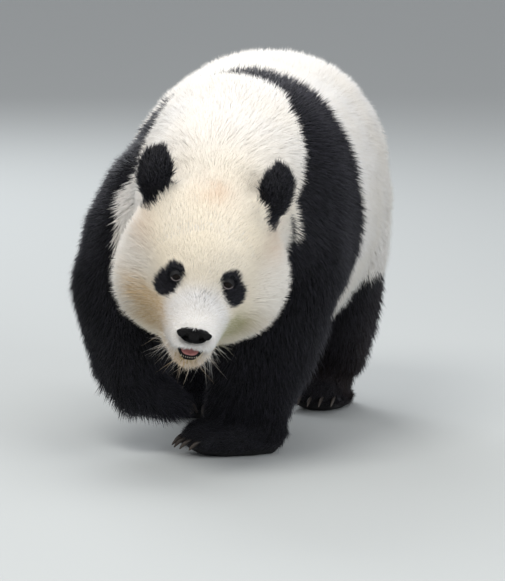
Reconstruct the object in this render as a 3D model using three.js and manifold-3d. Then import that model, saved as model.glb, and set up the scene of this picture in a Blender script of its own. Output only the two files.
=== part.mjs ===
// A giant panda at life size, walking with its head low and its right forefoot lifted.
// Millimetres, +Z up. It faces -Y with its left side towards +X, and stands on the plane z = 0.
import * as THREE from 'three';
import { mergeVertices } from 'three/addons/utils/BufferGeometryUtils.js';
import Module from 'manifold-3d';

const wasm = await Module();
wasm.setup();

// ---- driving dimensions ----
const withersHeight = 808; // top of the coat over the shoulder blades
const rumpHeight = 810;
const bellyHeight = 205; // lowest line of the coat under the belly
const trunkHalfWidth = 268;
const rumpEnd = 915; // rearmost point of the trunk along Y
const pieceGap = 0.3; // clear gap between pieces that lie against each other

const headCentre = new THREE.Vector3(10, -215, 458);
const headYaw = THREE.MathUtils.degToRad(8); // turned a little to its left
const headPitch = THREE.MathUtils.degToRad(30); // muzzle lowered from the horizontal
const headRoll = THREE.MathUtils.degToRad(9); // crown leaning to its left

// ---- finishes ----
const whiteCoat = new THREE.MeshStandardMaterial({ color: 0xf1ece2, roughness: 0.9 });
const blackCoat = new THREE.MeshStandardMaterial({ color: 0x17161b, roughness: 0.85 });
const noseLeather = new THREE.MeshStandardMaterial({ color: 0x141315, roughness: 0.35 });
const eyeGloss = new THREE.MeshStandardMaterial({ color: 0x1d110b, roughness: 0.05 });
const clawHorn = new THREE.MeshStandardMaterial({ color: 0xb9ab94, roughness: 0.45 });
const tongueFlesh = new THREE.MeshStandardMaterial({ color: 0xc0757a, roughness: 0.4 });

// ---- making and joining solids ----
function weldedGeometry(geometry) {
  const bare = geometry.clone();
  for (const name of Object.keys(bare.attributes)) {
    if (name !== 'position') bare.deleteAttribute(name);
  }
  return mergeVertices(bare, 1e-5);
}

// A round form with one vertex at each pole and none doubled along its seam, ready to be reshaped.
function unitSphere(columns, rows) {
  return weldedGeometry(new THREE.SphereGeometry(1, columns, rows));
}

function solidOf(geometry) {
  const welded = weldedGeometry(geometry);
  const mesh = new wasm.Mesh({
    numProp: 3,
    vertProperties: new Float32Array(welded.attributes.position.array),
    triVerts: new Uint32Array(welded.index.array),
  });
  return new wasm.Manifold(mesh);
}

function geometryOf(solid) {
  const mesh = solid.getMesh();
  const geometry = new THREE.BufferGeometry();
  geometry.setAttribute('position', new THREE.BufferAttribute(mesh.vertProperties, 3));
  geometry.setIndex(new THREE.BufferAttribute(mesh.triVerts, 1));
  geometry.computeVertexNormals();
  return geometry;
}

// The same solid with its surface moved out along its normals, and nowhere inside the first one.
function grown(solid, distance) {
  const geometry = geometryOf(solid);
  const position = geometry.attributes.position;
  const normal = geometry.attributes.normal;
  for (let i = 0; i < position.count; i++) {
    position.setXYZ(
      i,
      position.getX(i) + distance * normal.getX(i),
      position.getY(i) + distance * normal.getY(i),
      position.getZ(i) + distance * normal.getZ(i),
    );
  }
  return solidOf(geometry).add(solid);
}

function joined(solids) {
  return solids.reduce((sum, solid) => sum.add(solid));
}

function largestBody(solid) {
  const bodies = solid.decompose();
  return bodies.reduce((a, b) => (b.volume() > a.volume() ? b : a));
}

// ---- shapes ----
// Catmull-Rom through evenly spaced values, read at t from 0 to 1.
function smoothValue(values, t) {
  const last = values.length - 1;
  const place = Math.min(t * last, last - 1e-9);
  const k = Math.floor(place);
  const f = place - k;
  const [a, b, c, d] = [-1, 0, 1, 2].map((j) => values[THREE.MathUtils.clamp(k + j, 0, last)]);
  return b + 0.5 * f * (c - a + f * (2 * a - 5 * b + 4 * c - d + f * (3 * (b - c) + d - a)));
}

function powered(value, power) {
  return Math.sign(value) * Math.abs(value) ** power;
}

// A closed fleshy form along a spine. Each station is [x, y, z, half-width, half-depth]; its first
// and last stations are the rounded tips. The squares of the radii are blended, so tips come round.
// Width is measured along the side direction, depth square to it and to the spine. A section is an
// ellipse at corners = 2 and squarer above it. A hollow form's front half is a shallow dish.
function fleshAlong(stations, { columns, rows, side = [1, 0, 0], corners = [2, 2], hollow = 0 }) {
  const geometry = unitSphere(columns, rows);
  const spine = new THREE.CatmullRomCurve3(stations.map((s) => new THREE.Vector3(...s)));
  const widths = stations.map((s) => s[3] ** 2);
  const depths = stations.map((s) => s[4] ** 2);
  const position = geometry.attributes.position;
  const sideways = new THREE.Vector3(...side);
  for (let i = 0; i < position.count; i++) {
    const t = THREE.MathUtils.clamp((1 - position.getY(i)) / 2, 0, 1);
    const angle = Math.atan2(position.getZ(i), position.getX(i));
    const back = spine.getTangent(t).negate();
    const across = sideways.clone().addScaledVector(back, -sideways.dot(back)).normalize();
    const through = across.clone().cross(back);
    const width = Math.sqrt(Math.max(smoothValue(widths, t), 0));
    const depth = Math.sqrt(Math.max(smoothValue(depths, t), 0));
    const power = 2 / THREE.MathUtils.lerp(corners[0], corners[1], t);
    const dished = hollow > 0 && Math.sin(angle) > 0;
    const rise = dished ? -hollow * Math.sin(angle) ** 2 : powered(Math.sin(angle), power);
    const point = spine
      .getPoint(t)
      .addScaledVector(across, width * powered(Math.cos(angle), power))
      .addScaledVector(through, depth * rise);
    position.setXYZ(i, point.x, point.y, point.z);
  }
  return geometry;
}

// Distance from the origin to the far side of an ellipsoid, along a unit direction.
function reach(direction, { centre, radii }) {
  const d = direction.map((value, i) => value / radii[i]);
  const c = centre.map((value, i) => value / radii[i]);
  const dd = d[0] ** 2 + d[1] ** 2 + d[2] ** 2;
  const dc = d[0] * c[0] + d[1] * c[1] + d[2] * c[2];
  const cc = c[0] ** 2 + c[1] ** 2 + c[2] ** 2;
  const root = dc ** 2 - dd * (cc - 1);
  return root > 0 ? Math.max((dc + Math.sqrt(root)) / dd, 0) : 0;
}

// Ellipsoids round one common core, melted into one form: the higher the power, the tighter the melt.
class MeltedForm {
  constructor(core, blobs, power) {
    this.core = core;
    this.power = power;
    this.blobs = blobs.map(({ centre, radii }) => ({
      centre: centre.map((value, axis) => value - core[axis]),
      radii,
    }));
  }

  reach(direction) {
    const total = this.blobs.reduce((sum, blob) => sum + reach(direction, blob) ** this.power, 0);
    return total ** (1 / this.power);
  }

  // The Y of the front surface, ahead of the point x, z.
  frontAt(x, z) {
    let [inside, outside] = [this.core[1], this.core[1] - 600];
    for (let step = 0; step < 40; step++) {
      const middle = (inside + outside) / 2;
      const ray = [x, middle, z].map((value, axis) => value - this.core[axis]);
      const length = Math.hypot(...ray);
      const within = length < this.reach(ray.map((value) => value / length));
      if (within) inside = middle;
      else outside = middle;
    }
    return inside;
  }

  // The form's pole points forward, so its rings run round the muzzle.
  geometry(columns, rows) {
    const geometry = unitSphere(columns, rows);
    const position = geometry.attributes.position;
    for (let i = 0; i < position.count; i++) {
      const direction = [position.getX(i), -position.getY(i), position.getZ(i)];
      const distance = this.reach(direction);
      position.setXYZ(i, ...direction.map((value, axis) => this.core[axis] + value * distance));
    }
    geometry.index.array.reverse(); // the mirrored Y turned the faces inside out: this turns them back
    return geometry;
  }
}

function ellipsoid(centre, radii, columns, rows) {
  return unitSphere(columns, rows).scale(...radii).translate(...centre);
}

// A flat outline in the Y-Z plane, given as [y, z] points, made solid to both sides of the midline.
function slab(outline, halfWidth) {
  const shape = new THREE.Shape(outline.map(([y, z]) => new THREE.Vector2(y, z)));
  return new THREE.ExtrudeGeometry(shape, { depth: 2 * halfWidth, bevelEnabled: false })
    .translate(0, 0, -halfWidth)
    .applyMatrix4(new THREE.Matrix4().makeBasis(
      new THREE.Vector3(0, 1, 0),
      new THREE.Vector3(0, 0, 1),
      new THREE.Vector3(1, 0, 0),
    ));
}

// ---- the pieces, each parted by the gap from those it gives way to ----
const group = new THREE.Group();
group.name = 'giant_panda';
const room = {}; // what each piece takes up, gap and all

function addPiece(name, material, solid, givesWayTo = []) {
  const parted = givesWayTo.reduce((rest, other) => rest.subtract(room[other]), solid);
  room[name] = grown(solid, pieceGap);
  const mesh = new THREE.Mesh(geometryOf(largestBody(parted)), material);
  mesh.name = name;
  group.add(mesh);
}

// ---- neck and trunk, first as one body ----
const trunkMiddle = (withersHeight + bellyHeight) / 2;
const trunkHalfHeight = (withersHeight - bellyHeight) / 2;
const rumpMiddle = (rumpHeight + bellyHeight) / 2;
const rumpHalfHeight = (rumpHeight - bellyHeight) / 2;
const spineSway = 24; // the withers swing towards the planted left foreleg

let body = solidOf(fleshAlong([
  [14, -250, 490, 0, 0],
  [14, -165, 522, 156, 148],
  [16, -70, 543, 184, 196],
  [22, 30, trunkMiddle + 26, trunkHalfWidth * 0.83, trunkHalfHeight * 0.86],
  [spineSway, 150, trunkMiddle + 12, trunkHalfWidth * 0.97, trunkHalfHeight * 0.96],
  [spineSway * 0.5, 300, trunkMiddle, trunkHalfWidth, trunkHalfHeight * 0.985],
  [0, 460, trunkMiddle - 4, trunkHalfWidth, trunkHalfHeight * 0.98],
  [0, 625, rumpMiddle, trunkHalfWidth * 0.99, rumpHalfHeight],
  [0, 790, rumpMiddle + 5, trunkHalfWidth * 0.85, rumpHalfHeight * 0.83],
  [0, rumpEnd, rumpMiddle, 0, 0],
], { columns: 22, rows: 17, corners: [1.9, 2.3] }));

// ---- head, in its own axes: X to its left, Y backwards, Z to the crown ----
function onHead(geometry) {
  return solidOf(
    geometry
      .applyMatrix4(new THREE.Matrix4().makeRotationY(headRoll))
      .applyMatrix4(new THREE.Matrix4().makeRotationX(headPitch))
      .applyMatrix4(new THREE.Matrix4().makeRotationZ(headYaw))
      .translate(headCentre.x, headCentre.y, headCentre.z),
  );
}

const headForm = new MeltedForm([0, -20, -50], [
  { centre: [0, 10, 12], radii: [156, 165, 150] }, // brain case and brow
  { centre: [78, -2, -58], radii: [110, 122, 116] }, // left cheek
  { centre: [-78, -2, -58], radii: [110, 122, 116] }, // right cheek
  { centre: [64, -28, -114], radii: [76, 76, 92] }, // fringe of fur under the left cheek
  { centre: [-64, -28, -114], radii: [76, 76, 92] }, // and under the right
  { centre: [0, -112, -66], radii: [75, 131, 54] }, // muzzle
  { centre: [0, -80, -26], radii: [76, 96, 66] }, // bridge of the nose
  { centre: [30, -182, -65], radii: [33, 43, 26] }, // left upper lip
  { centre: [-30, -182, -65], radii: [33, 43, 26] }, // right upper lip
  { centre: [0, -84, -118], radii: [62, 133, 64] }, // lower jaw
  { centre: [0, -156, -114], radii: [50, 51, 31] }, // chin
], 13);

// Eyes: only the front of each ball stands out of the face.
const eye = { radius: 12, spread: 53, level: 33, sunk: 8 };
for (const [name, hand] of [['eye_left', 1], ['eye_right', -1]]) {
  const front = headForm.frontAt(eye.spread, eye.level);
  const centre = [hand * eye.spread, front + eye.sunk, eye.level];
  addPiece(name, eyeGloss, onHead(ellipsoid(centre, [eye.radius, eye.radius, eye.radius], 8, 6)));
}

const nose = { radii: [36, 14, 15], level: -47, sunk: 8 };
const noseFront = headForm.frontAt(0, nose.level);
const noseCentre = [0, noseFront + nose.sunk, nose.level];
addPiece('nose', noseLeather, onHead(ellipsoid(noseCentre, nose.radii, 10, 7)));

// The mouth is a wedge open to the front, over a jaw that drops from its corners.
const mouth = { cornerY: -105, cornerZ: -91, roofSlope: -0.06, floorSlope: 0.38, halfWidth: 32 };
const pastLips = 180; // how far ahead of the corners the cutting shapes run
const roofEnd = [mouth.cornerY - pastLips, mouth.cornerZ - mouth.roofSlope * pastLips];
const floorEnd = [mouth.cornerY - pastLips, mouth.cornerZ - mouth.floorSlope * pastLips];
const mouthWedge = onHead(slab([[mouth.cornerY, mouth.cornerZ], roofEnd, floorEnd], mouth.halfWidth));
const jawRegion = onHead(slab([
  [mouth.cornerY, mouth.cornerZ],
  floorEnd,
  [floorEnd[0], -300],
  [mouth.cornerY, -300],
], 90));

// The tongue lies on the floor of the mouth, and teeth stand along the front of the jaw.
const floorAt = (y) => mouth.cornerZ + mouth.floorSlope * (y - mouth.cornerY);
const tongueMiddle = mouth.cornerY - 60;
const tongueSolid = onHead(
  ellipsoid([0, 0, 0], [20, 38, 6], 10, 7)
    .rotateX(Math.atan(mouth.floorSlope))
    .translate(0, tongueMiddle, floorAt(tongueMiddle) + 7),
);
addPiece('tongue', tongueFlesh, tongueSolid);
const teethFront = mouth.cornerY - 91;
const teeth = [-2.5, -1.5, -0.5, 0.5, 1.5, 2.5].map((place) => {
  const y = teethFront + place ** 2 * 1.4;
  return onHead(ellipsoid([place * 6.5, y, floorAt(y)], [3, 3, 5], 6, 4));
});

for (const [name, hand] of [['ear_left', 1], ['ear_right', -1]]) {
  const spread = hand * 121;
  const stations = [
    [spread, 38, 56, 0, 0],
    [spread, 40, 86, 22, 20],
    [spread, 44, 130, 37, 30],
    [spread, 48, 174, 38, 26],
    [spread, 52, 212, 0, 0],
  ];
  const turn = hand * 0.4; // the dish of the ear looks forwards and outwards
  const side = [Math.cos(turn), Math.sin(turn), 0];
  addPiece(name, blackCoat, onHead(fleshAlong(stations, { columns: 12, rows: 8, side, hollow: 0.25 })));
}

const headRegion = onHead(ellipsoid([0, 12, -12], [212, 186, 206], 12, 8));
const headFlesh = onHead(headForm.geometry(20, 15)).add(body.intersect(headRegion));
const jaw = headFlesh.intersect(jawRegion);
addPiece('lower_jaw', whiteCoat, joined([jaw, ...teeth]), ['tongue']);
const upperHead = headFlesh.subtract(mouthWedge).subtract(grown(jawRegion, pieceGap));
const onFace = ['eye_left', 'eye_right', 'nose', 'ear_left', 'ear_right', 'tongue'];
addPiece('head', whiteCoat, upperHead, onFace);
body = body.subtract(grown(headRegion, pieceGap));

// ---- feet: heel, sole, five toes side by side, and a claw on each toe ----
const floorBlock = solidOf(new THREE.BoxGeometry(4000, 4000, 400).translate(0, 0, -200));
const toePitch = 25;
const toeRadii = [20, 20, 21];
const feet = [
  { node: 'forepaw_left', heel: [112, 64, 44], toes: [-40, -24, 32], width: 66, height: 46 },
  { node: 'forepaw_right', heel: [-170, -58, 152], toes: [-94, 42, 102], width: 64, height: 46 },
  { node: 'hindfoot_left', heel: [140, 790, 44], toes: [112, 612, 32], width: 62, height: 46 },
  { node: 'hindfoot_right', heel: [-144, 588, 44], toes: [-124, 412, 32], width: 62, height: 46 },
];

for (const foot of feet) {
  const heel = new THREE.Vector3(...foot.heel);
  const toes = new THREE.Vector3(...foot.toes);
  const along = toes.clone().sub(heel).normalize();
  const across = new THREE.Vector3(0, 0, 1).cross(along).normalize();
  const side = across.toArray();
  const at = (f) => heel.clone().lerp(toes, f).toArray();
  const stations = [
    [...at(-0.25), 0, 0],
    [...at(0.1), foot.width * 0.85, foot.height * 1.1],
    [...at(0.5), foot.width, foot.height],
    [...at(0.85), foot.width * 1.02, foot.height * 0.8],
    [...at(1.12), 0, 0],
  ];
  const shapes = [fleshAlong(stations, { columns: 10, rows: 7, side, corners: [2.4, 2.4] })];
  const claws = [];
  for (let toe = -2; toe <= 2; toe++) {
    const clawName = `claw_${foot.node}_${toe + 3}`;
    const root = toes
      .clone()
      .addScaledVector(across, toe * toePitch)
      .addScaledVector(along, 4 - 4 * toe * toe);
    shapes.push(ellipsoid(root.toArray(), toeRadii, 6, 3));
    const claw = (forward, drop, radius) => {
      const point = root.clone().addScaledVector(along, forward);
      return [point.x, point.y, point.z - drop, radius * 0.75, radius];
    };
    const clawStations = [claw(4, -4, 0), claw(16, -3, 6.5), claw(30, 4, 5), claw(38, 15, 0)];
    const horn = solidOf(fleshAlong(clawStations, { columns: 5, rows: 4, side }));
    addPiece(clawName, clawHorn, horn.subtract(floorBlock));
    claws.push(clawName);
  }
  addPiece(foot.node, blackCoat, joined(shapes.map(solidOf)).subtract(floorBlock), claws);
}

// ---- legs, each with the part of the body that moves with it ----
const legFoot = {
  foreleg_left: 'forepaw_left',
  foreleg_right: 'forepaw_right',
  hindleg_left: 'hindfoot_left',
  hindleg_right: 'hindfoot_right',
};
const legs = {
  foreleg_left: [
    [130, 150, 710, 0, 0],
    [166, 130, 590, 88, 144],
    [170, 110, 470, 108, 150],
    [132, 90, 340, 112, 128],
    [96, 75, 210, 98, 106],
    [70, 60, 105, 90, 90],
    [62, 50, 50, 80, 70],
    [60, 48, 20, 0, 0],
  ],
  foreleg_right: [
    [-112, 150, 690, 0, 0],
    [-156, 125, 580, 84, 140],
    [-188, 90, 460, 112, 148],
    [-206, 45, 340, 116, 128],
    [-196, -5, 240, 106, 106],
    [-164, -40, 150, 92, 86],
    [-120, -48, 114, 0, 0],
  ],
  hindleg_left: [
    [110, 690, 690, 0, 0],
    [158, 690, 560, 92, 165],
    [172, 665, 430, 94, 165],
    [168, 665, 300, 88, 128],
    [152, 715, 190, 80, 92],
    [138, 735, 100, 72, 76],
    [134, 730, 50, 62, 62],
    [134, 725, 20, 0, 0],
  ],
  hindleg_right: [
    [-110, 680, 690, 0, 0],
    [-158, 660, 560, 92, 165],
    [-172, 600, 430, 94, 160],
    [-168, 545, 300, 88, 124],
    [-154, 535, 190, 80, 92],
    [-144, 530, 100, 72, 76],
    [-142, 525, 50, 62, 62],
    [-142, 522, 20, 0, 0],
  ],
};
const regionWidth = 1.5; // the share of the body parted with a leg reaches past it sideways
const regionDepth = 1.1;
const legMesh = { columns: 12, rows: 10 };

for (const [name, stations] of Object.entries(legs)) {
  const leg = solidOf(fleshAlong(stations, legMesh));
  const wider = stations.map(([x, y, z, w, d]) => [x, y, z, w * regionWidth, d * regionDepth]);
  const region = solidOf(fleshAlong(wider, legMesh));
  addPiece(name, blackCoat, leg.add(body.intersect(region)), [legFoot[name]]);
  body = body.subtract(grown(region, pieceGap));
}

// ---- neck, trunk and tail ----
const neckRegion = solidOf(slab([[-500, 1000], [90, 1000], [-70, 100], [-500, 100]], 500));
addPiece('neck', whiteCoat, body.intersect(neckRegion), ['ear_left', 'ear_right']);

const tailStations = [
  [0, rumpEnd - 55, 560, 0, 0],
  [0, rumpEnd - 15, 510, 44, 34],
  [0, rumpEnd + 10, 440, 52, 34],
  [0, rumpEnd + 12, 375, 40, 26],
  [0, rumpEnd + 5, 335, 0, 0],
];
addPiece('tail', whiteCoat, solidOf(fleshAlong(tailStations, { columns: 10, rows: 8 })));
addPiece('trunk', whiteCoat, body.subtract(grown(neckRegion, pieceGap)), ['tail']);

// The origin is on the floor, under the middle of the whole animal's box.
const extent = new THREE.Box3().setFromObject(group, true);
const middle = extent.getCenter(new THREE.Vector3());
group.position.set(-middle.x, -middle.y, -extent.min.z);

export default group;
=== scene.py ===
# A giant panda at life size, walking, in metres: one hide over the body's flesh, a coat of solid
# tufts that lies the way the fur grows, and the bare parts of the face and feet as pieces of their own.
import math

import bmesh
import bpy
import numpy as np
from mathutils import Matrix, Vector, noise
from mathutils.bvhtree import BVHTree


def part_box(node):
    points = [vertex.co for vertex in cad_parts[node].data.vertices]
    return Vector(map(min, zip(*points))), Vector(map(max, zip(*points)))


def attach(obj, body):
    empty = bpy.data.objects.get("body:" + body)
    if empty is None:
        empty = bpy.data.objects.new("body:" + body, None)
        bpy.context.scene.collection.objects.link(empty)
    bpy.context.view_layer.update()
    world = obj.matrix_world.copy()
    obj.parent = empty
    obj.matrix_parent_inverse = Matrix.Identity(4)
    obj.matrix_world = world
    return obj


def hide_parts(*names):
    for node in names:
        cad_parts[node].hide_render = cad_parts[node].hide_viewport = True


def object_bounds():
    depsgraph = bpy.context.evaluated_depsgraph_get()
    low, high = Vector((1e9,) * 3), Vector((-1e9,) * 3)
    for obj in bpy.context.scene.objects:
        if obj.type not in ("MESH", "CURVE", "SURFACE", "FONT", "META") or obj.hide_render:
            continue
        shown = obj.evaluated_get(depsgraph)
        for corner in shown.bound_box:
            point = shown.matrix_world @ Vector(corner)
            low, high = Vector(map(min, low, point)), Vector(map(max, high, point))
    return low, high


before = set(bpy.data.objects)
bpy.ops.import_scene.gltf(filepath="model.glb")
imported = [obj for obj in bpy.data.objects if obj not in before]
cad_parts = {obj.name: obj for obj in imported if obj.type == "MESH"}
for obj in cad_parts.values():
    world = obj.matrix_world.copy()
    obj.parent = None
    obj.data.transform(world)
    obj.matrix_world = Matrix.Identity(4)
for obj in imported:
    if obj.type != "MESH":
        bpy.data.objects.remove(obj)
low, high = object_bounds()
size = high - low


def added(name, data):
    """A new object in the scene."""
    thing = bpy.data.objects.new(name, data)
    bpy.context.scene.collection.objects.link(thing)
    return thing


# ---- camera ----
# It stands ahead of the animal and a little to its left, with a long lens, and looks slightly down.
# Its aim is a point given in shares of the animal's box.
camera_distance = 9.7
camera_azimuth = math.radians(10)
camera_drop = math.radians(7.77)
camera_roll = math.radians(1.5)
camera_aim_shares = (0.6395, 0.3394, 0.427)
camera_aim = Vector((low[i] + size[i] * share for i, share in enumerate(camera_aim_shares)))

camera = added("camera", bpy.data.cameras.new("camera"))
camera.data.lens = 285
camera.data.clip_end = 200
turn = (
    Matrix.Rotation(camera_azimuth, 4, "Z")
    @ Matrix.Rotation(math.pi / 2 - camera_drop, 4, "X")
    @ Matrix.Rotation(camera_roll, 4, "Z")
)
camera.matrix_world = Matrix.Translation(camera_aim) @ turn @ Matrix.Translation((0, 0, camera_distance))
bpy.context.scene.camera = camera


# ---- floor and light ----
# A plain matt studio floor that runs out past every view, and the even pale surround above it.
# The light is soft daylight from high in front, with weaker lamps from the left and from behind.
bpy.context.scene.view_settings.view_transform = "Standard"
floor_reach = 60

floor_mesh = bpy.data.meshes.new("floor")
floor_mesh.from_pydata(
    [(x * floor_reach, y * floor_reach, 0) for x, y in ((-1, -1), (1, -1), (1, 1), (-1, 1))],
    [],
    [(0, 1, 2, 3)],
)
floor = added("floor", floor_mesh)
floor_paint = bpy.data.materials.new("studio floor")
floor_paint.use_nodes = True
floor_shader = floor_paint.node_tree.nodes["Principled BSDF"]
floor_shader.inputs["Base Color"].default_value = (0.42, 0.435, 0.43, 1)
floor_shader.inputs["Roughness"].default_value = 0.85
floor_mesh.materials.append(floor_paint)

surround = bpy.data.worlds.new("studio")
bpy.context.scene.world = surround
surround.use_nodes = True
surround_light = surround.node_tree.nodes["Background"].inputs
surround_light["Color"].default_value = (0.94, 0.96, 1.0, 1)
surround_light["Strength"].default_value = 0.62

# Each lamp's place, its width in metres, its power in watts and its colour. All are turned to the trunk.
lamp_aim = Vector((0, 0, 0.45))
for name, place, width, power, colour in (
    ("key", (-1.1, -3.7, 5.1), 2.4, 208, (1.0, 0.985, 0.95)),
    ("top", (0.8, 0.8, 4.6), 2.6, 62, (1.0, 0.99, 0.97)),
    ("fill", (4.0, -3.2, 2.2), 3.0, 122, (0.93, 0.965, 1.0)),
    ("back", (-2.6, 4.6, 3.6), 3.0, 170, (0.94, 0.97, 1.0)),
):
    light = bpy.data.lights.new(name, "AREA")
    light.size = width
    light.energy = power
    light.color = colour
    lamp = added(name, light)
    lamp.location = place
    lamp.rotation_euler = (lamp_aim - Vector(place)).to_track_quat("-Z", "Y").to_euler()


# ---- hide: the body's form ----
# The skin of the whole animal, under the fur. It is wrapped over all the flesh at once, so that no
# seam shows, smoothed, and drawn in from the coat's surface by the depth of the fur over each part.
body_nodes = ["head", "lower_jaw", "neck", "trunk", "tail", "ear_left", "ear_right"]
leg_nodes = ["foreleg_left", "foreleg_right", "hindleg_left", "hindleg_right"]
foot_nodes = ["forepaw_left", "forepaw_right", "hindfoot_left", "hindfoot_right"]
flesh_nodes = body_nodes + leg_nodes + foot_nodes


def welded(node):
    """The corners, triangles and outward normals of a node, with its doubled corners merged."""
    shape = bmesh.new()
    shape.from_mesh(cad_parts[node].data)
    bmesh.ops.remove_doubles(shape, verts=shape.verts, dist=1e-5)
    shape.normal_update()
    corners = np.array([v.co[:] for v in shape.verts])
    normals = np.array([v.normal[:] for v in shape.verts])
    faces = [[v.index for v in f.verts] for f in shape.faces]
    shape.free()
    return corners, faces, normals


def joined(parts):
    """Several (corners, faces) as one."""
    corners, faces, first = [], [], 0
    for part_corners, part_faces in parts:
        corners.append(np.asarray(part_corners, float))
        faces += [[first + i for i in face] for face in part_faces]
        first += len(part_corners)
    return np.concatenate(corners), faces


def new_piece(name, corners, faces):
    mesh = bpy.data.meshes.new(name)
    mesh.from_pydata(np.asarray(corners).tolist(), [], faces)
    mesh.update()
    return added(name, mesh)


def made_plain(piece):
    """Applies the piece's modifiers, so that it is a plain mesh."""
    depsgraph = bpy.context.evaluated_depsgraph_get()
    evaluated = piece.evaluated_get(depsgraph)
    mesh = bpy.data.meshes.new_from_object(evaluated, preserve_all_data_layers=True, depsgraph=depsgraph)
    piece.modifiers.clear()
    old = piece.data
    piece.data = mesh
    bpy.data.meshes.remove(old)
    mesh.name = piece.name


def read(mesh, layer="position"):
    """The positions or the normals of a mesh's vertices."""
    values = np.zeros(len(mesh.vertices) * 3)
    if layer == "position":
        mesh.vertices.foreach_get("co", values)
    elif layer == "normal":
        mesh.vertex_normals.foreach_get("vector", values)
    return values.reshape(-1, 3)


def move(mesh, places):
    """Puts the vertices of a mesh at new places."""
    mesh.vertices.foreach_set("co", np.asarray(places, np.float32).ravel())
    mesh.update()


# The skull's own axes, from the eyes, the nose and the ears. Its origin is midway between the eyes.
def centre(node):
    return np.mean([np.array(corner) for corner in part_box(node)], axis=0)


def unit(vector):
    return vector / np.linalg.norm(vector)


climb_to_ears = math.radians(34.3)  # from the skull's axis up to the line from the nose to the ears
between_eyes = (centre("eye_left") + centre("eye_right")) / 2
between_ears = (centre("ear_left") + centre("ear_right")) / 2
to_left = unit(centre("eye_left") - centre("eye_right"))
to_ears = between_ears - centre("nose")
to_ears = unit(to_ears - to_left * (to_ears @ to_left))
rising = np.cross(to_ears, to_left)
rising = rising * np.sign(rising[2])
to_back = math.cos(climb_to_ears) * to_ears - math.sin(climb_to_ears) * rising
to_crown = math.sin(climb_to_ears) * to_ears + math.cos(climb_to_ears) * rising
skull = np.stack([to_left, to_back, to_crown])


def on_skull(places):
    """Places as distances to the left, backwards and up from the point between the eyes."""
    return (np.asarray(places) - between_eyes) @ skull.T


def off_skull(distances):
    """The reverse: distances to the left, backwards and up as places."""
    return np.asarray(distances) @ skull + between_eyes


nose_at = on_skull(centre("nose"))

# The wrap. Each node is grown a little, so that the fine gaps between them close, and a plug fills
# the open mouth, which is cut again at a finer grain below.
gap_closing = 0.0006
wrap_grain = 0.0066
plug_middle = nose_at + (0, 0.083, -0.054)
plug_radii = (0.038, 0.070, 0.030)


def ball(columns, rows, radii=(1, 1, 1), middle=(0, 0, 0)):
    """A closed ball of quads and end triangles, with three radii along the skull's axes."""
    corners = [(0, 0, 1)]
    for row in range(1, rows):
        polar = math.pi * row / rows
        for column in range(columns):
            around = 2 * math.pi * column / columns
            corners.append((
                math.sin(polar) * math.cos(around),
                math.sin(polar) * math.sin(around),
                math.cos(polar),
            ))
    corners.append((0, 0, -1))
    last = len(corners) - 1
    faces = []
    for column in range(columns):
        beside = (column + 1) % columns
        faces.append([0, 1 + column, 1 + beside])
        for row in range(rows - 2):
            top = 1 + row * columns
            bottom = top + columns
            faces.append([top + column, bottom + column, bottom + beside, top + beside])
        end = 1 + (rows - 2) * columns
        faces.append([end + column, last, end + beside])
    return np.array(corners) * radii + middle, faces


parts = []
owner = []
for node in flesh_nodes:
    node_corners, node_faces, node_normals = welded(node)
    parts.append((node_corners + gap_closing * node_normals, node_faces))
    owner += [node] * len(node_faces)
flesh_corners, flesh_faces = joined(parts)
flesh_tree = BVHTree.FromPolygons(flesh_corners.tolist(), flesh_faces)
plug_corners, plug_faces = ball(24, 16, plug_radii, plug_middle)
hide = new_piece("hide", *joined(parts + [(off_skull(plug_corners), plug_faces)]))
wrap = hide.modifiers.new("wrap", "REMESH")
wrap.mode = "VOXEL"
wrap.voxel_size = wrap_grain
made_plain(hide)


def keep_largest_shell(piece):
    """Deletes the small shells that the wrap leaves inside the body."""
    shape = bmesh.new()
    shape.from_mesh(piece.data)
    unseen = set(shape.verts)
    shells = []
    while unseen:
        shell = [unseen.pop()]
        for vert in shell:
            found = {edge.other_vert(vert) for edge in vert.link_edges} & unseen
            unseen -= found
            shell.extend(found)
        shells.append(shell)
    for shell in sorted(shells, key=len)[:-1]:
        bmesh.ops.delete(shape, geom=shell, context="VERTS")
    shape.to_mesh(piece.data)
    shape.free()


keep_largest_shell(hide)


class Net:
    """The links between a mesh's neighbouring vertices, for smoothing values over its surface."""

    def __init__(self, mesh):
        ends = np.zeros(len(mesh.edges) * 2, np.int64)
        mesh.edges.foreach_get("vertices", ends)
        ends = ends.reshape(-1, 2)
        self.here = np.concatenate([ends[:, 0], ends[:, 1]])
        self.there = np.concatenate([ends[:, 1], ends[:, 0]])
        self.count = len(mesh.vertices)
        self.links = np.maximum(np.bincount(self.here, minlength=self.count), 1)

    def means(self, values):
        """The mean over each vertex's neighbours."""
        columns = [
            np.bincount(self.here, weights=column[self.there], minlength=self.count)
            for column in values.T
        ]
        return np.stack(columns, axis=1) / self.links[:, None]

    def blurred(self, values, rounds, share=0.5):
        """The values moved towards their neighbours' means, by a share each round."""
        flat = values.ndim == 1
        blurred = values[:, None].astype(float) if flat else values.astype(float)
        amount = np.asarray(share)
        amount = amount[:, None] if amount.ndim else amount
        for _ in range(rounds):
            blurred = blurred + amount * (self.means(blurred) - blurred)
        return blurred[:, 0] if flat else blurred


net = Net(hide.data)
places = read(hide.data)
coat_surface = BVHTree.FromPolygons(places.tolist(), [list(f.vertices) for f in hide.data.polygons])


def shares_at(places, rounds):
    """How much of each flesh node is at each place of the hide, blurred over its net."""
    nearest = [flesh_tree.find_nearest(Vector(place)) for place in places]
    owners = np.array([owner[hit[2]] for hit in nearest])
    owned = np.stack([owners == node for node in flesh_nodes], axis=1).astype(float)
    return dict(zip(flesh_nodes, net.blurred(owned, rounds).T))


def share(*nodes):
    """How much of several flesh nodes together is at each place."""
    return sum(share_of[node] for node in nodes)


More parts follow.
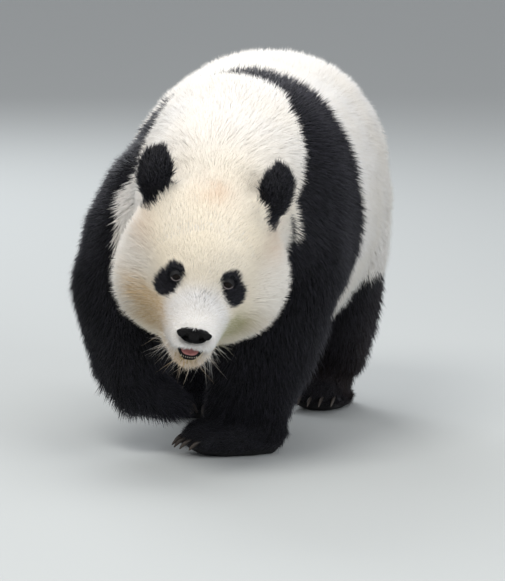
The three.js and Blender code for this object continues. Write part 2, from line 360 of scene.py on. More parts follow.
def kind(node):
    """The node's name without its side."""
    return node.removesuffix("_left").removesuffix("_right")


def spot(at, middle, spread):
    """A value that fades from 1 at a middle, over the spread along each of the skull's axes."""
    return np.exp(-np.sum(((at - middle) / spread) ** 2, axis=1))


def step(low_end, high_end, values):
    """A smooth rise from 0 at the low end to 1 at the high end."""
    t = np.clip((values - low_end) / (high_end - low_end), 0, 1)
    return t * t * (3 - 2 * t)


# Smoothing takes the facets out. Broad forms are smoothed most, and ears, toes and muzzle least.
share_of = shares_at(places, 10)
broad_rounds = 60
across, behind, above = on_skull(places).T
muzzle_share = step(-0.02, -0.075, behind)
muzzle_share = muzzle_share * step(0.115, 0.085, abs(across))
muzzle_share = muzzle_share * share("head", "lower_jaw")
foot_share = share(*foot_nodes)
fine_share = 0.75 * muzzle_share + 0.93 * share("ear_left", "ear_right") + 0.9 * foot_share
smoothing = 0.5 * (1 - np.clip(fine_share, 0, 0.93))
places = net.blurred(places, broad_rounds, smoothing)
move(hide.data, places)

# The coat's depth over each part, and over some places on the head.
coat_depth = {
    "head": 0.012, "lower_jaw": 0.006, "neck": 0.017, "trunk": 0.017, "tail": 0.015, "ear": 0.003,
    "foreleg": 0.013, "hindleg": 0.014, "forepaw": 0.007, "hindfoot": 0.007,
}
face_depth = 0.005
cheek_depth = 0.019
cheek_slimming = 0.016
raised_leg_slimming = 0.022
wrist_filling = 0.011
hind_foot_slimming = 0.014


def head_parts(places):
    """How much of the face, and of the ruff on the cheeks, is at each place."""
    across, behind, above = on_skull(places).T
    on_head = share("head", "lower_jaw")
    face = on_head * step(0.10, 0.02, behind) * step(0.15, 0.10, np.hypot(across, 0.9 * (above + 0.02)))
    ruff = on_head * step(0.085, 0.125, abs(across)) * step(0.06, -0.02, above)
    return face * (1 - ruff), ruff


face_share, ruff_share = head_parts(places)
depth = sum(share_of[node] * coat_depth[kind(node)] for node in flesh_nodes)
depth = depth + face_share * (face_depth - depth)
depth = depth + ruff_share * (cheek_depth - depth)
right_cheek = spot(on_skull(places), (-0.165, 0.11, -0.065), (0.050, 0.10, 0.060))
depth = depth + cheek_slimming * right_cheek * share("head", "neck")

# The raised foreleg is slimmer on its outer side, the standing one fuller on the inner side of its
# wrist, and the left hind foot slimmer on its outer side. The soles lie bare on the floor.
normals = read(hide.data, "normal")
to_the_left, _, facing_up = normals.T
height = places[:, 2]
raised_leg = share("foreleg_right", "forepaw_right") * step(0.34, 0.21, height)
by_wrist = step(0.32, 0.20, height) * step(0.03, 0.07, height)
standing_wrist = share("foreleg_left", "forepaw_left") * by_wrist
left_hind_foot = share("hindleg_left", "hindfoot_left") * step(0.10, 0.04, height)
depth = depth + raised_leg_slimming * raised_leg * step(0.1, -0.6, to_the_left)
depth = depth - wrist_filling * standing_wrist * step(0.0, -0.6, to_the_left)
depth = depth + hind_foot_slimming * left_hind_foot * step(0.0, 0.6, to_the_left)
sole = foot_share * step(0.030, 0.014, height) * step(0.2, -0.4, facing_up)
depth = depth * (1 - sole)

# The hide is drawn in from the coat's surface by that depth, in a few rounds, smoothed each time.
furthest_in = 0.05
furthest_out = 0.03
share_each_round = 0.8
for _ in range(3):
    nearest = [coat_surface.find_nearest(Vector(place)) for place in places]
    gaps = np.array([
        (Vector(place) - hit[0]).length * (-1 if (Vector(place) - hit[0]).dot(hit[1]) > 0 else 1)
        for place, hit in zip(places, nearest)
    ])
    draw_in = net.blurred(np.clip(depth - gaps, -furthest_out, furthest_in), broad_rounds, smoothing)
    draw_in = net.blurred(draw_in, 4)
    places = places - normals * draw_in[:, None] * share_each_round
    places = net.blurred(places, 3, 0.8 * smoothing)
    move(hide.data, places)
    normals = read(hide.data, "normal")
places[:, 2] = np.maximum(places[:, 2], low[2] + 0.0002)
move(hide.data, places)


# ---- hide: the face ----
# Skin drawn tight over the skull's front: lids that close over the eyeballs, a shallow furrow down
# the nose, full upper lips, and a mouth a little open. The mesh is made finer here before it is shaped.
def make_finer(piece, chosen):
    """Each face whose middle the chosen test accepts is parted in four."""
    shape = bmesh.new()
    shape.from_mesh(piece.data)
    middles = np.array([face.calc_center_median()[:] for face in shape.faces])
    wanted = chosen(on_skull(middles))
    edges = {edge for face, want in zip(shape.faces, wanted) if want for edge in face.edges}
    bmesh.ops.subdivide_edges(shape, edges=list(edges), cuts=1, use_grid_fill=True, smooth=0)
    uneven = [face for face in shape.faces if len(face.verts) > 4]
    bmesh.ops.triangulate(shape, faces=uneven)
    shape.to_mesh(piece.data)
    shape.free()


eye_spread = on_skull(centre("eye_left"))[0]
eye_radius = 0.012


def near_face(at):
    across, behind, above = at.T
    return (behind < 0.07) & (np.hypot(across, above + 0.03) < 0.15)


def at_eyes(at, reach=0.019):
    across, behind, above = at.T
    return (np.hypot(abs(across) - eye_spread, above) < reach) & (behind < 0.03)


def near_eyes_and_mouth(at):
    across, behind, above = at.T
    by_mouth = (abs(across) < 0.055) & (above < -0.05) & (above > -0.19) & (behind < 0.0)
    return at_eyes(at, 0.026) | by_mouth


make_finer(hide, near_face)
make_finer(hide, near_eyes_and_mouth)
make_finer(hide, at_eyes)
net = Net(hide.data)
places = read(hide.data)
fine_face = near_face(on_skull(places)).astype(float)
places = net.blurred(places, 3, 0.5 * fine_face)
at = on_skull(places)
across, behind, above = at.T  # a change to one of these changes at itself

# Upper lips: two soft swellings beside the midline, parted by a furrow under the nose.
lip_swell = 0.003
furrow_half = 0.0026
furrow_depth = 0.003
for hand in (-1, 1):
    swell_at = (hand * 0.024, nose_at[1] + 0.012, nose_at[2] - 0.023)
    behind -= lip_swell * spot(at, swell_at, (0.022, 0.03, 0.016))
below_nose = nose_at[2] - above
furrow = np.exp(-(across / furrow_half) ** 2) * step(0.036, 0.026, below_nose)
furrow = furrow * step(0.012, 0.020, below_nose) * (behind < -0.03)
behind += furrow_depth * furrow

# The mouth: a flat upper edge over a bow-shaped lower one, pushed in to a dark pocket.
mouth_half = 0.0285
mouth_level = nose_at[2] - 0.028
lower_lip_drop = 0.044
pocket_depth = 0.055
along_mouth = np.clip(abs(across) / mouth_half, 0, 1)
upper_edge = mouth_level - 0.002 * (1 - along_mouth ** 2)
lower_edge = mouth_level - lower_lip_drop * np.sqrt(1 - along_mouth ** 3)
outside = np.maximum(above - upper_edge, lower_edge - above)
outside = np.maximum(outside, abs(across) - mouth_half)
front = (behind < 0.0) & (above < nose_at[2] - 0.015)
inside_mouth = step(0.0010, -0.0030, outside) * front
behind += pocket_depth * inside_mouth
below_mouth = step(-0.010, -0.026, above - mouth_level)
lip_share = step(0.0070, 0.0040, outside + 0.0035 - 0.0085 * below_mouth) * front

# Lids: the skin is brought up round the eyeball and drawn over it, with an almond opening in which the
# ball shows, and a rim along the lower edge.
socket_level = 0.003  # how far the skin about the eye is ahead of the ball's middle
lid_thickness = 0.0013
lid_fillet = 0.0022
opening_half = 0.0108
opening_up = 0.0088
opening_down = 0.0052
opening_depth = 0.0050
lid_share = np.zeros(len(at))
lid_rim = np.zeros(len(at))
for node in ("eye_left", "eye_right"):
    eye_at = on_skull(centre(node))
    beside_eye = (across - eye_at[0]) * np.sign(eye_at[0])
    over_eye = above - eye_at[2]
    off_axis = np.hypot(beside_eye, over_eye)
    ahead = behind < eye_at[1] + 0.05
    brought_up = np.exp(-(off_axis / 0.024) ** 4) * ahead
    behind += brought_up * (eye_at[1] - socket_level + 0.25 * beside_eye - behind)
    shell = eye_radius + lid_thickness
    over_ball = eye_at[1] - np.sqrt(np.maximum(shell ** 2 - off_axis ** 2, 0))
    nearer = np.minimum(over_ball, behind)
    further = np.maximum(over_ball, behind)
    draped = nearer - lid_fillet * np.log1p(np.exp(-(further - nearer) / lid_fillet))
    draped = draped + lid_fillet * math.log(2) * np.exp(-(further - nearer) / lid_fillet)
    near = step(0.021, 0.015, off_axis) * ahead
    behind += near * (draped - behind)
    tilted = over_eye + 0.10 * beside_eye
    narrowing = 1 - np.clip(beside_eye / opening_half, -1, 1) ** 2
    from_edge = abs(tilted) - np.where(tilted > 0, opening_up, opening_down) * narrowing
    open_share = step(0.0007, -0.0007, from_edge) * (abs(beside_eye) < opening_half) * ahead
    behind += opening_depth * open_share
    on_rim = np.exp(-((from_edge - 0.0008) / 0.0007) ** 2) * (tilted < 0.0005) * near
    lid_rim = np.maximum(lid_rim, on_rim * (abs(beside_eye) < opening_half))
    lid_share = np.maximum(lid_share, step(0.0155, 0.0120, off_axis) * ahead)
places = off_skull(at)
places = net.blurred(places, 1, 0.3 * fine_face * (1 - lid_share) * (1 - inside_mouth))
move(hide.data, places)


# ---- hide: markings and the lie of the fur ----
# Black ears, eye patches, legs and a band over the shoulders, on white. The same marking is kept on
# the hide for its own colour and for the coat, as the distance inside the edge of the black.
share_of = shares_at(places, 12)
head_share = share("head", "lower_jaw")
ear_share = share("ear_left", "ear_right")
leg_share = share(*leg_nodes)
foot_share = share(*foot_nodes)
hind_share = share(*leg_nodes[2:], *foot_nodes[2:])
x, y, z = places.T
at = on_skull(places)
across, behind, above = at.T


def ripple(places, pitch, seed):
    """A smooth random value, about -1 to 1, that changes over the given pitch."""
    shift = Vector((seed * 7.3, seed * 3.1, seed * 5.7))
    return np.array([noise.noise(Vector(place) / pitch + shift) for place in places])


def along(share):
    return low[1] + share * size[1]


def up(share):
    return low[2] + share * size[2]


# The shoulder band runs from the withers down over both forelegs. Its edges are given in shares of the
# animal's length and height. The front edge slopes forwards to the legs and starts further back on the
# right, the rear edge curves back above and below the shoulder, and the band is narrow at the withers.
withers = up(0.995)
shoulder = up(0.746)
front_at_withers = along(0.398)
rear_at_shoulder = along(0.409)
furthest_rear = along(0.475)
ruff_reach = 0.188  # how far to the right the ruff's white goes on the shoulder
below_withers = withers - z
over_shoulder = z - shoulder
front_edge = front_at_withers - np.minimum(1.25 * below_withers, 0.034 + 0.83 * below_withers)
front_edge = front_edge - 0.20 * np.maximum(below_withers - 0.19, 0)
further_back = 0.057 + np.maximum(-0.98 * over_shoulder, 0.32 * over_shoulder)
further_back = further_back * step(up(0.45), up(0.52), z)
front_edge = front_edge + further_back * step(0.07, -0.12, x)
rear_edge = np.minimum(rear_at_shoulder + 1.5 * over_shoulder ** 2, furthest_rear)
rear_edge = rear_edge - 0.022 * step(up(0.90), up(0.985), z)
beyond_ruff = -ruff_reach - x - np.maximum(z - up(0.703), 0)
in_band = np.minimum(np.maximum(y - front_edge, beyond_ruff), rear_edge - y)

# The black of the hind legs starts at the fold of the flank, and that of the chest joins the forelegs.
thigh_front = np.where(x > 0, along(0.765), along(0.68))
fold = np.maximum(0.250 - abs(x), 0) * step(thigh_front + 0.03, thigh_front - 0.03, y)
hind_top = up(0.425) + 0.10 * (y - along(0.86)) - 1.7 * fold
in_hind = np.minimum(hind_top - z, y - along(0.60))
in_hind = np.maximum(in_hind, np.minimum(up(0.40) - z, 0.1 * (hind_share - 0.3)))
in_chest = np.minimum(up(0.47) - z, np.minimum(along(0.48) - y, y - along(0.17)))
broad = ripple(places, 0.055, 1)
fine = ripple(places, 0.016, 2)
on_body = np.maximum(np.maximum(in_band, in_chest), in_hind) + 0.007 * broad + 0.005 * fine

# Eye patches: a round about the eye, and a wider lobe that leans outwards and down from it.
round_middle = (0.0535, 0.0060)
lobe_middle = (0.0635, -0.0240)
lobe_lean = math.radians(23)
lobe_half_length = 0.038
lobe_half_width = 0.0205
round_radius = 0.0190
patch_fillet = 0.0035
in_patch = np.full(len(places), -0.05)
for hand in (-1, 1):
    in_round = round_radius - np.hypot(hand * across - round_middle[0], above - round_middle[1])
    beside = hand * across - lobe_middle[0]
    over = above - lobe_middle[1]
    long_way = over * math.cos(lobe_lean) - beside * math.sin(lobe_lean)
    short_way = beside * math.cos(lobe_lean) + over * math.sin(lobe_lean)
    in_lobe = (1 - np.hypot(long_way / lobe_half_length, short_way / lobe_half_width)) * lobe_half_width
    in_both = patch_fillet * np.logaddexp(in_round / patch_fillet, in_lobe / patch_fillet)
    in_patch = np.maximum(in_patch, in_both)
in_patch = np.where(behind < 0.05, in_patch, -0.05) + 0.0018 * fine
in_ear = (ear_share - 0.36) * 0.05
for ear, inward in (("ear_left", 0.0), ("ear_right", 0.012)):
    ear_root = on_skull(centre(ear)) + (inward, -0.020, -0.050)
    off_root = np.linalg.norm((at - ear_root) / (0.026, 0.03, 0.028), axis=1)
    in_ear = np.maximum(in_ear, 0.02 * (1 - off_root))
in_ear = in_ear + 0.002 * fine
on_head = np.maximum(in_patch, in_ear)
head_blend = step(0.35, 0.65, head_share + ear_share)
in_black = on_body * (1 - head_blend) + on_head * head_blend

# Tints in the white: cream over the face and back, rust between the ears, stains on the cheeks.
cream = np.clip(0.54 * step(0.40, 0.10, behind) + 0.33 + 0.22 * ripple(places, 0.11, 3), 0, 1)
pale_muzzle = head_share * step(0.0, -0.03, behind) * step(0.085, 0.06, abs(across))
pale_muzzle = pale_muzzle * step(0.02, -0.03, above)
crown = on_skull(between_ears) + (-0.005, -0.040, 0.020)
rust = spot(at, crown, (0.042, 0.042, 0.035)) * (0.75 + 0.5 * ripple(places, 0.03, 7))
for ear in ("ear_left", "ear_right"):
    below_ear = on_skull(centre(ear)) + (0, -0.06, -0.085)
    rust = np.maximum(rust, 0.60 * spot(at, below_ear, (0.028, 0.06, 0.035)))
rust = np.clip(rust, 0, 1)
bridge = (0.004, -0.045, -0.027)
speckled = spot(at, bridge, (0.026, 0.06, 0.014))
stain = 0 * x  # each stain's middle on the skull, its spread and its strength
for where, spread, strength in (
    ((-0.108, 0.02, -0.085), (0.040, 0.08, 0.030), 1.1),
    ((-0.078, 0.00, -0.112), (0.032, 0.07, 0.040), 1.5),
    ((-0.090, 0.02, -0.150), (0.036, 0.07, 0.030), 0.7),
    ((0.115, 0.00, -0.130), (0.040, 0.07, 0.030), 0.6),
    ((0.0, -0.05, -0.168), (0.050, 0.06, 0.030), 1.1),
):
    stain = stain + strength * spot(at, where, spread)
stain = np.clip(stain * (0.9 + 0.4 * ripple(places, 0.025, 8)), 0, 1)
olive = spot(at, (0.076, -0.01, -0.126), (0.028, 0.07, 0.036))
olive = np.clip(2.4 * olive * (0.9 + 0.4 * ripple(places, 0.025, 9)), 0, 1)
brown = step(up(0.55), up(0.30), z) * step(along(0.70), along(0.90), y)

# The way the fur lies: backwards and down on the body, away from the nose on the head, up the ears,
# down the legs and out along the toes.
def toes_of(foot):
    claws = [centre(f"claw_{foot}_{toe}") for toe in range(1, 6)]
    return unit(np.mean(claws, axis=0) - centre(foot))


top_line = step(up(0.80), up(0.99), z)
normals = read(hide.data, "normal")
to_the_left, to_the_rear, facing_up = normals.T
rump = step(0.10, 0.65, to_the_rear)
body_way = np.stack([0 * x, 0.9 + 0 * x, -0.75 * (1 - top_line * (1 - rump)) - 1.2 * rump], axis=1)
from_nose = at - (nose_at + (0, 0.02, 0.01))
from_nose = from_nose / np.maximum(np.linalg.norm(from_nose, axis=1), 1e-6)[:, None]
face_way = from_nose @ skull + 0.35 * step(0.0, 0.10, behind)[:, None] * np.array([0, 0.4, -1.0])
ear_way = np.array([0, 0.1, 1.0]) @ skull
leg_way = np.array([0, 0.12, -1.0])
tail_way = np.array([0, 0.1, -1.0])
ways = {
    "head": face_way, "lower_jaw": face_way, "neck": body_way, "trunk": body_way, "tail": tail_way,
    "ear_left": ear_way, "ear_right": ear_way, **{node: leg_way for node in leg_nodes},
    **{node: toes_of(node) for node in foot_nodes},
}
lie = sum(share_of[node][:, None] * ways[node] for node in flesh_nodes)
upper_body = step(up(0.45), up(0.62), z)[:, None] * leg_share[:, None]
lie = lie * (1 - upper_body) + body_way * upper_body
swirl = np.stack([ripple(places, 0.09, seed) for seed in (4, 5, 6)], axis=1)
lie = lie + 0.28 * swirl


def laid_flat(directions):
    """The directions turned into the hide's surface, each of length 1."""
    flat = directions - normals * np.sum(directions * normals, axis=1)[:, None]
    return flat / np.maximum(np.linalg.norm(flat, axis=1), 1e-6)[:, None]


lie = laid_flat(net.blurred(laid_flat(lie), 6))

# The fur's length, and how far it stands from the skin, over each part.
fur_of = {  # length in metres, lift in degrees
    "head": (0.020, 24), "lower_jaw": (0.016, 26), "neck": (0.030, 30), "trunk": (0.032, 33),
    "tail": (0.040, 26), "ear": (0.021, 33), "foreleg": (0.032, 29), "hindleg": (0.034, 29),
    "forepaw": (0.019, 22), "hindfoot": (0.019, 22),
}
face_fur = (0.0130, 21)
cheek_fur = (0.035, 30)
muzzle_fur = (0.0080, 20)
chin_fur = (0.017, 34)
belly_fur = (0.060, 30)
hanging_fur = (0.037, 48)
fringe_fur = (0.048, 37)
face_share, ruff_share = head_parts(places)
by_nose = step(-0.02, -0.05, behind) * step(0.095, 0.07, abs(across)) * step(-0.01, -0.04, above)
muzzle_share = head_share * by_nose
chin_share = head_share * step(-0.150, -0.165, above) * step(0.07, 0.05, abs(across)) * (behind < 0.02)
belly_edge = share_of["trunk"] * step(up(0.50), up(0.36), z)
underarm = share("foreleg_right", "forepaw_right")
underarm = underarm * step(-0.2, -0.7, facing_up) * step(up(0.35), up(0.22), z)
fringe = step(0.35, 0.75, 0.55 * np.sign(x) * to_the_left + 0.83 * to_the_rear)
fringe = fringe * (leg_share - 0.6 * hind_share) * step(0.10, 0.22, z) * step(0.34, 0.27, z)
fur = sum(share_of[node][:, None] * np.array(fur_of[kind(node)]) for node in flesh_nodes)
for covered, local_fur in (
    (face_share, face_fur), (ruff_share, cheek_fur), (muzzle_share, muzzle_fur),
    (chin_share, chin_fur), (fringe, fringe_fur), (belly_edge, belly_fur), (underarm, hanging_fur),
):
    fur = fur + covered[:, None] * (np.array(local_fur) - fur)

# It is shorter along the band's front edge, so that the edge shows where it lies.
edge_shortening = 0.40
edge_reach = 0.022
near_edge = np.exp(-((y - front_edge) / edge_reach) ** 2) * step(up(0.42), up(0.50), z)
fur[:, 0] *= 1 - edge_shortening * near_edge * (1 - head_share)

# Bare skin: the soles, lips, lids, mouth and the seat of the nose pad.
sole = foot_share * step(0.030, 0.014, z) * step(0.1, -0.5, facing_up)
bowed = at - nose_at - np.stack([0 * x, 0 * x, 0.0045 * (across / 0.036) ** 2], axis=1)
to_nose = np.linalg.norm((bowed + (0, 0, 0.002)) / (0.034, 0.030, 0.012), axis=1)
bare = np.clip(sole + step(0.2, 0.6, lip_share) + step(0.5, 0.9, lid_share) + inside_mouth, 0, 1)
bare = np.maximum(bare, step(1.15, 0.95, to_nose))


def keep(mesh, name, values):
    """Stores one value, or a vector, for each vertex."""
    data_type, field = ("FLOAT_VECTOR", "vector") if values.ndim == 2 else ("FLOAT", "value")
    layer = mesh.attributes.get(name) or mesh.attributes.new(name, data_type, "POINT")
    layer.data.foreach_set(field, np.asarray(values, np.float32).ravel())


cream = cream * (1 - 0.85 * pale_muzzle) * (1 - 0.4 * ruff_share)
for name, values in {
    "in_black": in_black, "cream": cream, "rust": rust, "stain": stain, "olive": olive,
    "brown": brown, "speckled": speckled,
    "lie": lie, "fur_length": fur[:, 0], "fur_lift": np.radians(fur[:, 1]), "bare": bare,
    "in_mouth": inside_mouth, "lid_rim": lid_rim,
}.items():
    keep(hide.data, name, values)


# ---- hide: colour and unwrap ----
# Skin is cream with dense underfur below the white coat and dark slate below the black, and bare and
# black at the lids, lips and soles. It is unwrapped over its own form, for the tufts' colours too.
class Nodes:
    """A node tree, made and joined by short calls."""

    def node(self, kind, settings=(), inputs=()):
        node = self.tree.nodes.new(kind)
        for name, value in dict(settings).items():
            setattr(node, name, value)
        for socket, value in dict(inputs).items():
            self.put(node.inputs[socket], value)
        return node

    def put(self, socket, value):
        """Links a socket to another, or sets it to a number, colour or name."""
        if isinstance(value, bpy.types.NodeSocket):
            self.tree.links.new(value, socket)
        else:
            socket.default_value = value

    def math(self, operation, *values):
        node = self.node("ShaderNodeMath", {"operation": operation})
        for socket, value in zip(node.inputs, values):
            self.put(socket, value)
        return node.outputs[0]

    def times(self, *values):
        return self.math("MULTIPLY", *values)


class Finish(Nodes):
    """A material."""

    def __init__(self, name):
        self.material = bpy.data.materials.new(name)
        self.material.use_nodes = True
        self.tree = self.material.node_tree
        self.shader = self.tree.nodes["Principled BSDF"]

    def value(self, attribute):
        return self.node("ShaderNodeAttribute", {"attribute_name": attribute}).outputs["Fac"]

    def spread(self, value, from_low, from_high, to_low=0.0, to_high=1.0):
        """The value moved smoothly from one range to another."""
        node = self.node("ShaderNodeMapRange", {"interpolation_type": "SMOOTHSTEP"})
        for socket, number in zip(node.inputs, (value, from_low, from_high, to_low, to_high)):
            self.put(socket, number)
        return node.outputs[0]

    def mix(self, share, first, second):
        """A share of the second colour in the first."""
        node = self.node("ShaderNodeMix", {"data_type": "RGBA"})
        for socket, value in ((0, share), (6, first), (7, second)):
            self.put(node.inputs[socket], value)
        return node.outputs[2]

    def tinted(self, tone, colour, layer, *ranges):
        """The tone with a colour mixed in by an attribute, over a range of it where one is given."""
        share = self.value(layer)
        return self.mix(self.spread(share, *ranges) if ranges else share, tone, colour)

    def cloudy(self, scale, detail=3.0):
        """Noise over the piece's own coordinates, from 0 to 1."""
        place = self.node("ShaderNodeTexCoord").outputs["Object"]
        inputs = {"Vector": place, "Scale": scale, "Detail": detail}
        return self.node("ShaderNodeTexNoise", {}, inputs).outputs["Fac"]

    def cells(self, scale):
        """The distance from the middle of small cells over the piece's own coordinates."""
        place = self.node("ShaderNodeTexCoord").outputs["Object"]
        inputs = {"Vector": place, "Scale": scale}
        return self.node("ShaderNodeTexVoronoi", {}, inputs).outputs["Distance"]

    def bump(self, height, distance):
        inputs = {"Height": height, "Distance": distance}
        self.put(self.shader.inputs["Normal"], self.node("ShaderNodeBump", {}, inputs).outputs[0])

    def finish(self, sockets):
        for name, value in sockets.items():
            self.put(self.shader.inputs[name], value)


def dress(piece, look):
    """Gives a piece its one material and smooth shading."""
    piece.data.materials.clear()
    piece.data.materials.append(look.material)
    piece.data.shade_smooth()


hide_look = Finish("hide")
under_white = hide_look.mix(hide_look.cloudy(60), (0.66, 0.62, 0.56, 1), (0.76, 0.73, 0.68, 1))
under_white = hide_look.tinted(under_white, (0.42, 0.31, 0.15, 1), "stain")
under_black = hide_look.mix(hide_look.cloudy(60), (0.006, 0.006, 0.008, 1), (0.014, 0.013, 0.016, 1))
bare_skin = hide_look.mix(hide_look.cloudy(220), (0.004, 0.004, 0.0045, 1), (0.011, 0.010, 0.011, 1))
bare_skin = hide_look.tinted(bare_skin, (0.060, 0.016, 0.018, 1), "in_mouth")
bare_skin = hide_look.tinted(bare_skin, (0.32, 0.27, 0.27, 1), "lid_rim")
is_black = hide_look.spread(hide_look.value("in_black"), -0.002, 0.002)
furred = hide_look.mix(is_black, under_white, under_black)
hide_colour = hide_look.mix(hide_look.spread(hide_look.value("bare"), 0.3, 0.6), furred, bare_skin)
hide_look.bump(hide_look.cloudy(900, 4.0), 0.0004)
hide_look.finish({"Base Color": hide_colour, "Roughness": 0.65, "Specular IOR Level": 0.25})
dress(hide, hide_look)

bpy.context.view_layer.objects.active = hide
hide.select_set(True)
bpy.ops.object.mode_set(mode="EDIT")
bpy.ops.mesh.select_all(action="SELECT")
bpy.ops.uv.smart_project(angle_limit=math.radians(66), island_margin=0.002)
bpy.ops.object.mode_set(mode="OBJECT")
hide.select_set(False)
hide.data.uv_layers[0].name = "OFBake"
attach(hide, "root")
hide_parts(*flesh_nodes)


# ---- coat ----
# Dense coarse fur, white and black. Each tuft is a lock of joined hairs set in the skin: it tapers to a
# point, and is raised by the fur's lift along its lie. Geometry nodes scatter the locks over the hide,
# and each area is a piece of its own for the white and for the black.
def tuft(name, aspect, sway, droop):
    """A lock one unit long along X and aspect wide, swayed to a side and drooped, closed all round."""
    section = [(-0.5, -0.16), (0.5, -0.16), (0.0, 0.32)]
    corners = [(0.0, side * aspect, over * aspect) for side, over in section]
    corners.append((1.0, sway, -droop))
    faces = [(0, 2, 1), (0, 1, 3), (1, 2, 3), (2, 0, 3)]
    mesh = bpy.data.meshes.new(name)
    mesh.from_pydata(corners, [], faces)
    mesh.shade_smooth()
    keep(mesh, "patch", np.array([(-0.5, side, 0.0) for side, _ in section] + [(0.5, 0.0, 0.0)]))
    keep(mesh, "tip_share", np.array([0.0, 0.0, 0.0, 1.0]))
    return bpy.data.objects.new(name, mesh)


def tuft_set(name, aspect, sway, droop):
    """Three tufts of a kind: one straight, two swayed to the sides."""
    shapes = bpy.data.collections.new(name)
    for number, hand in enumerate((-1, 0, 1)):
        shapes.objects.link(tuft(f"{name} {number}", aspect, hand * sway, droop))
    return shapes


body_locks = tuft_set("body locks", 0.078, 0.10, 0.05)
head_locks = tuft_set("head locks", 0.085, 0.08, 0.04)
face_locks = tuft_set("face locks", 0.115, 0.08, 0.02)
whisker_locks = tuft_set("whisker locks", 0.013, 0.12, 0.14)

# How much one tuft differs from the next: in shares of the fur's length and lift, and in radians of roll.
length_range = (0.65, 1.25)
width_range = (0.70, 1.25)
lift_range = (-1.40, -0.60)  # a negative turn about Y raises the tip
roll_range = (-0.6, 0.6)


